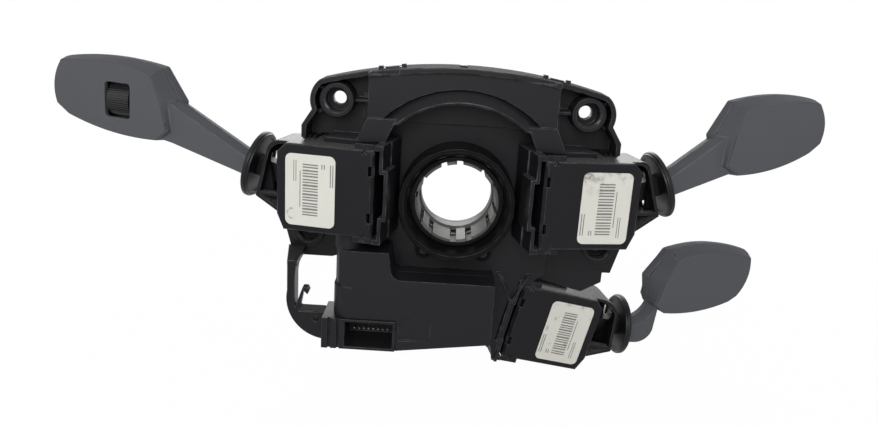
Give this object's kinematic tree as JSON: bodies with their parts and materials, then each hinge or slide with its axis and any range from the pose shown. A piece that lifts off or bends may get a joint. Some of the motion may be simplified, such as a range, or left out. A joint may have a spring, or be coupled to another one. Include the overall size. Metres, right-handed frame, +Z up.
{
  "type": "combination stalk switch",
  "caption": "Steering-column switch cluster: a carrier around a shaft bore with wiper, indicator and cruise stalks, a ribbon-cable rotor, an angle sensor and an electronics box.",
  "frame": {"origin": "middle of the rotor's lip on the steering shaft axis", "axes": "+Y along the shaft towards the steering wheel, +X to the right seen from the column, +Z up"},
  "size_m": [0.3911, 0.0854, 0.1666],
  "materials": {
    "carrier_plastic": "moulded black glass-filled plastic, satin",
    "sensor_plastic": "moulded dark plastic, satin",
    "box_plastic": "moulded black plastic, satin",
    "rotor_plastic": "moulded grey plastic, satin",
    "code_plastic": "dark smooth plastic",
    "ribbon_film": "amber film",
    "board_green": "lacquered circuit board",
    "steel": "zinc-plated steel",
    "contact_brass": "tinned brass",
    "module_plastic": "moulded black plastic, satin",
    "label_paper": "off-white label stock",
    "core_plastic": "moulded dark plastic",
    "disc_plastic": "moulded black plastic, satin",
    "stalk_plastic": "fine-grained charcoal plastic, matt",
    "wheel_plastic": "ribbed black plastic"
  },
  "bodies": {
    "root": {"carrier_frame": "carrier_plastic", "angle_sensor_case": "sensor_plastic", "sensor_screws": "steel", "sensor_reader": "sensor_plastic", "coil_case": "carrier_plastic", "ribbon_coil": "ribbon_film", "electronics_case": "box_plastic", "electronics_cover": "box_plastic", "main_board": "board_green", "connector_shell": "box_plastic", "connector_pins": "contact_brass", "cable_guide": "carrier_plastic", "wiper_case": "module_plastic", "wiper_cover": "module_plastic", "wiper_label": "label_paper", "wiper_contact_board": "board_green", "indicator_case": "module_plastic", "indicator_cover": "module_plastic", "indicator_label": "label_paper", "indicator_contact_board": "board_green", "cruise_case": "module_plastic", "cruise_cover": "module_plastic", "cruise_label": "label_paper", "cruise_contact_board": "board_green"},
    "rotor": {"rotor_sleeve": "rotor_plastic", "rotor_hub": "rotor_plastic", "rotor_cover": "rotor_plastic", "code_disc": "code_plastic", "wheel_socket": "rotor_plastic"},
    "wiper_gimbal_body": {"wiper_gimbal": "core_plastic"},
    "wiper_lever": {"wiper_lever_core": "core_plastic", "wiper_guard_disc": "disc_plastic", "wiper_rear_shell": "stalk_plastic", "wiper_front_shell": "stalk_plastic", "wiper_detent_spring": "steel"},
    "wiper_plunger": {"wiper_detent_plunger": "steel"},
    "wiper_button": {"wiper_end_button": "stalk_plastic"},
    "wiper_wheel": {"wiper_thumbwheel": "wheel_plastic", "wiper_wheel_axle": "steel"},
    "indicator_gimbal_body": {"indicator_gimbal": "core_plastic"},
    "indicator_lever": {"indicator_lever_core": "core_plastic", "indicator_guard_disc": "disc_plastic", "indicator_rear_shell": "stalk_plastic", "indicator_front_shell": "stalk_plastic", "indicator_detent_spring": "steel"},
    "indicator_plunger": {"indicator_detent_plunger": "steel"},
    "indicator_button": {"indicator_end_button": "stalk_plastic"},
    "cruise_gimbal_body": {"cruise_gimbal": "core_plastic"},
    "cruise_lever": {"cruise_lever_core": "core_plastic", "cruise_guard_disc": "disc_plastic", "cruise_rear_shell": "stalk_plastic", "cruise_front_shell": "stalk_plastic", "cruise_detent_spring": "steel"},
    "cruise_plunger": {"cruise_detent_plunger": "steel"},
    "cruise_button": {"cruise_end_button": "stalk_plastic"}
  },
  "joints": [
    {"name": "rotor_turn", "type": "hinge", "parent": "root", "child": "rotor", "pos_m": [0, 0, 0], "axis": [0, 1, 0], "range_deg": [-900, 900]},
    {"name": "wiper_lift", "type": "hinge", "parent": "root", "child": "wiper_gimbal_body", "pos_m": [-0.075, -0.024, 0.0058], "axis": [0.1822, 0.9833, 0], "range_deg": [-7, 14]},
    {"name": "wiper_pull", "type": "hinge", "parent": "wiper_gimbal_body", "child": "wiper_lever", "pos_m": [-0.075, -0.024, 0.0058], "axis": [-0.2379, 0.0441, -0.9703], "range_deg": [-6, 6], "stiffness_Nm_per_rad": 4},
    {"name": "wiper_detent_slide", "type": "slide", "parent": "wiper_lever", "child": "wiper_plunger", "axis": [-0.954, 0.1768, 0.2419], "range_m": [0, 0.001], "stiffness_N_per_m": 500, "deforming": ["wiper_detent_spring"]},
    {"name": "wiper_button_press", "type": "slide", "parent": "wiper_lever", "child": "wiper_button", "axis": [0.954, -0.1768, -0.2419], "range_m": [0, 0.0015], "stiffness_N_per_m": 500},
    {"name": "wiper_wheel_turn", "type": "hinge", "parent": "wiper_lever", "child": "wiper_wheel", "pos_m": [-0.1712, -0.00617, 0.03916], "axis": [-0.9819, 0.182, 0.0523], "range_deg": [-40, 40]},
    {"name": "indicator_lift", "type": "hinge", "parent": "root", "child": "indicator_gimbal_body", "pos_m": [0.075, -0.024, 0.0058], "axis": [0.1822, -0.9833, 0], "range_deg": [-11, 11]},
    {"name": "indicator_pull", "type": "hinge", "parent": "indicator_gimbal_body", "child": "indicator_lever", "pos_m": [0.075, -0.024, 0.0058], "axis": [-0.3038, -0.0563, 0.9511], "range_deg": [-6, 6], "stiffness_Nm_per_rad": 4},
    {"name": "indicator_detent_slide", "type": "slide", "parent": "indicator_lever", "child": "indicator_plunger", "axis": [0.9351, 0.1733, 0.309], "range_m": [0, 0.001], "stiffness_N_per_m": 500, "deforming": ["indicator_detent_spring"]},
    {"name": "indicator_button_press", "type": "slide", "parent": "indicator_lever", "child": "indicator_button", "axis": [-0.9351, -0.1733, -0.309], "range_m": [0, 0.0015], "stiffness_N_per_m": 500},
    {"name": "cruise_lift", "type": "hinge", "parent": "root", "child": "cruise_gimbal_body", "pos_m": [0.069, 0.0098, -0.0758], "axis": [0.1779, -0.9833, -0.0394], "range_deg": [-7, 7]},
    {"name": "cruise_pull", "type": "hinge", "parent": "cruise_gimbal_body", "child": "cruise_lever", "pos_m": [0.069, 0.0098, -0.0758], "axis": [0.055, -0.0301, 0.998], "range_deg": [-6, 6], "stiffness_Nm_per_rad": 4},
    {"name": "cruise_detent_slide", "type": "slide", "parent": "cruise_lever", "child": "cruise_plunger", "axis": [0.9825, 0.1797, -0.0488], "range_m": [0, 0.001], "stiffness_N_per_m": 500, "deforming": ["cruise_detent_spring"]},
    {"name": "cruise_button_press", "type": "slide", "parent": "cruise_lever", "child": "cruise_button", "axis": [-0.9666, -0.1671, -0.1941], "range_m": [0, 0.0015], "stiffness_N_per_m": 500}
  ]
}
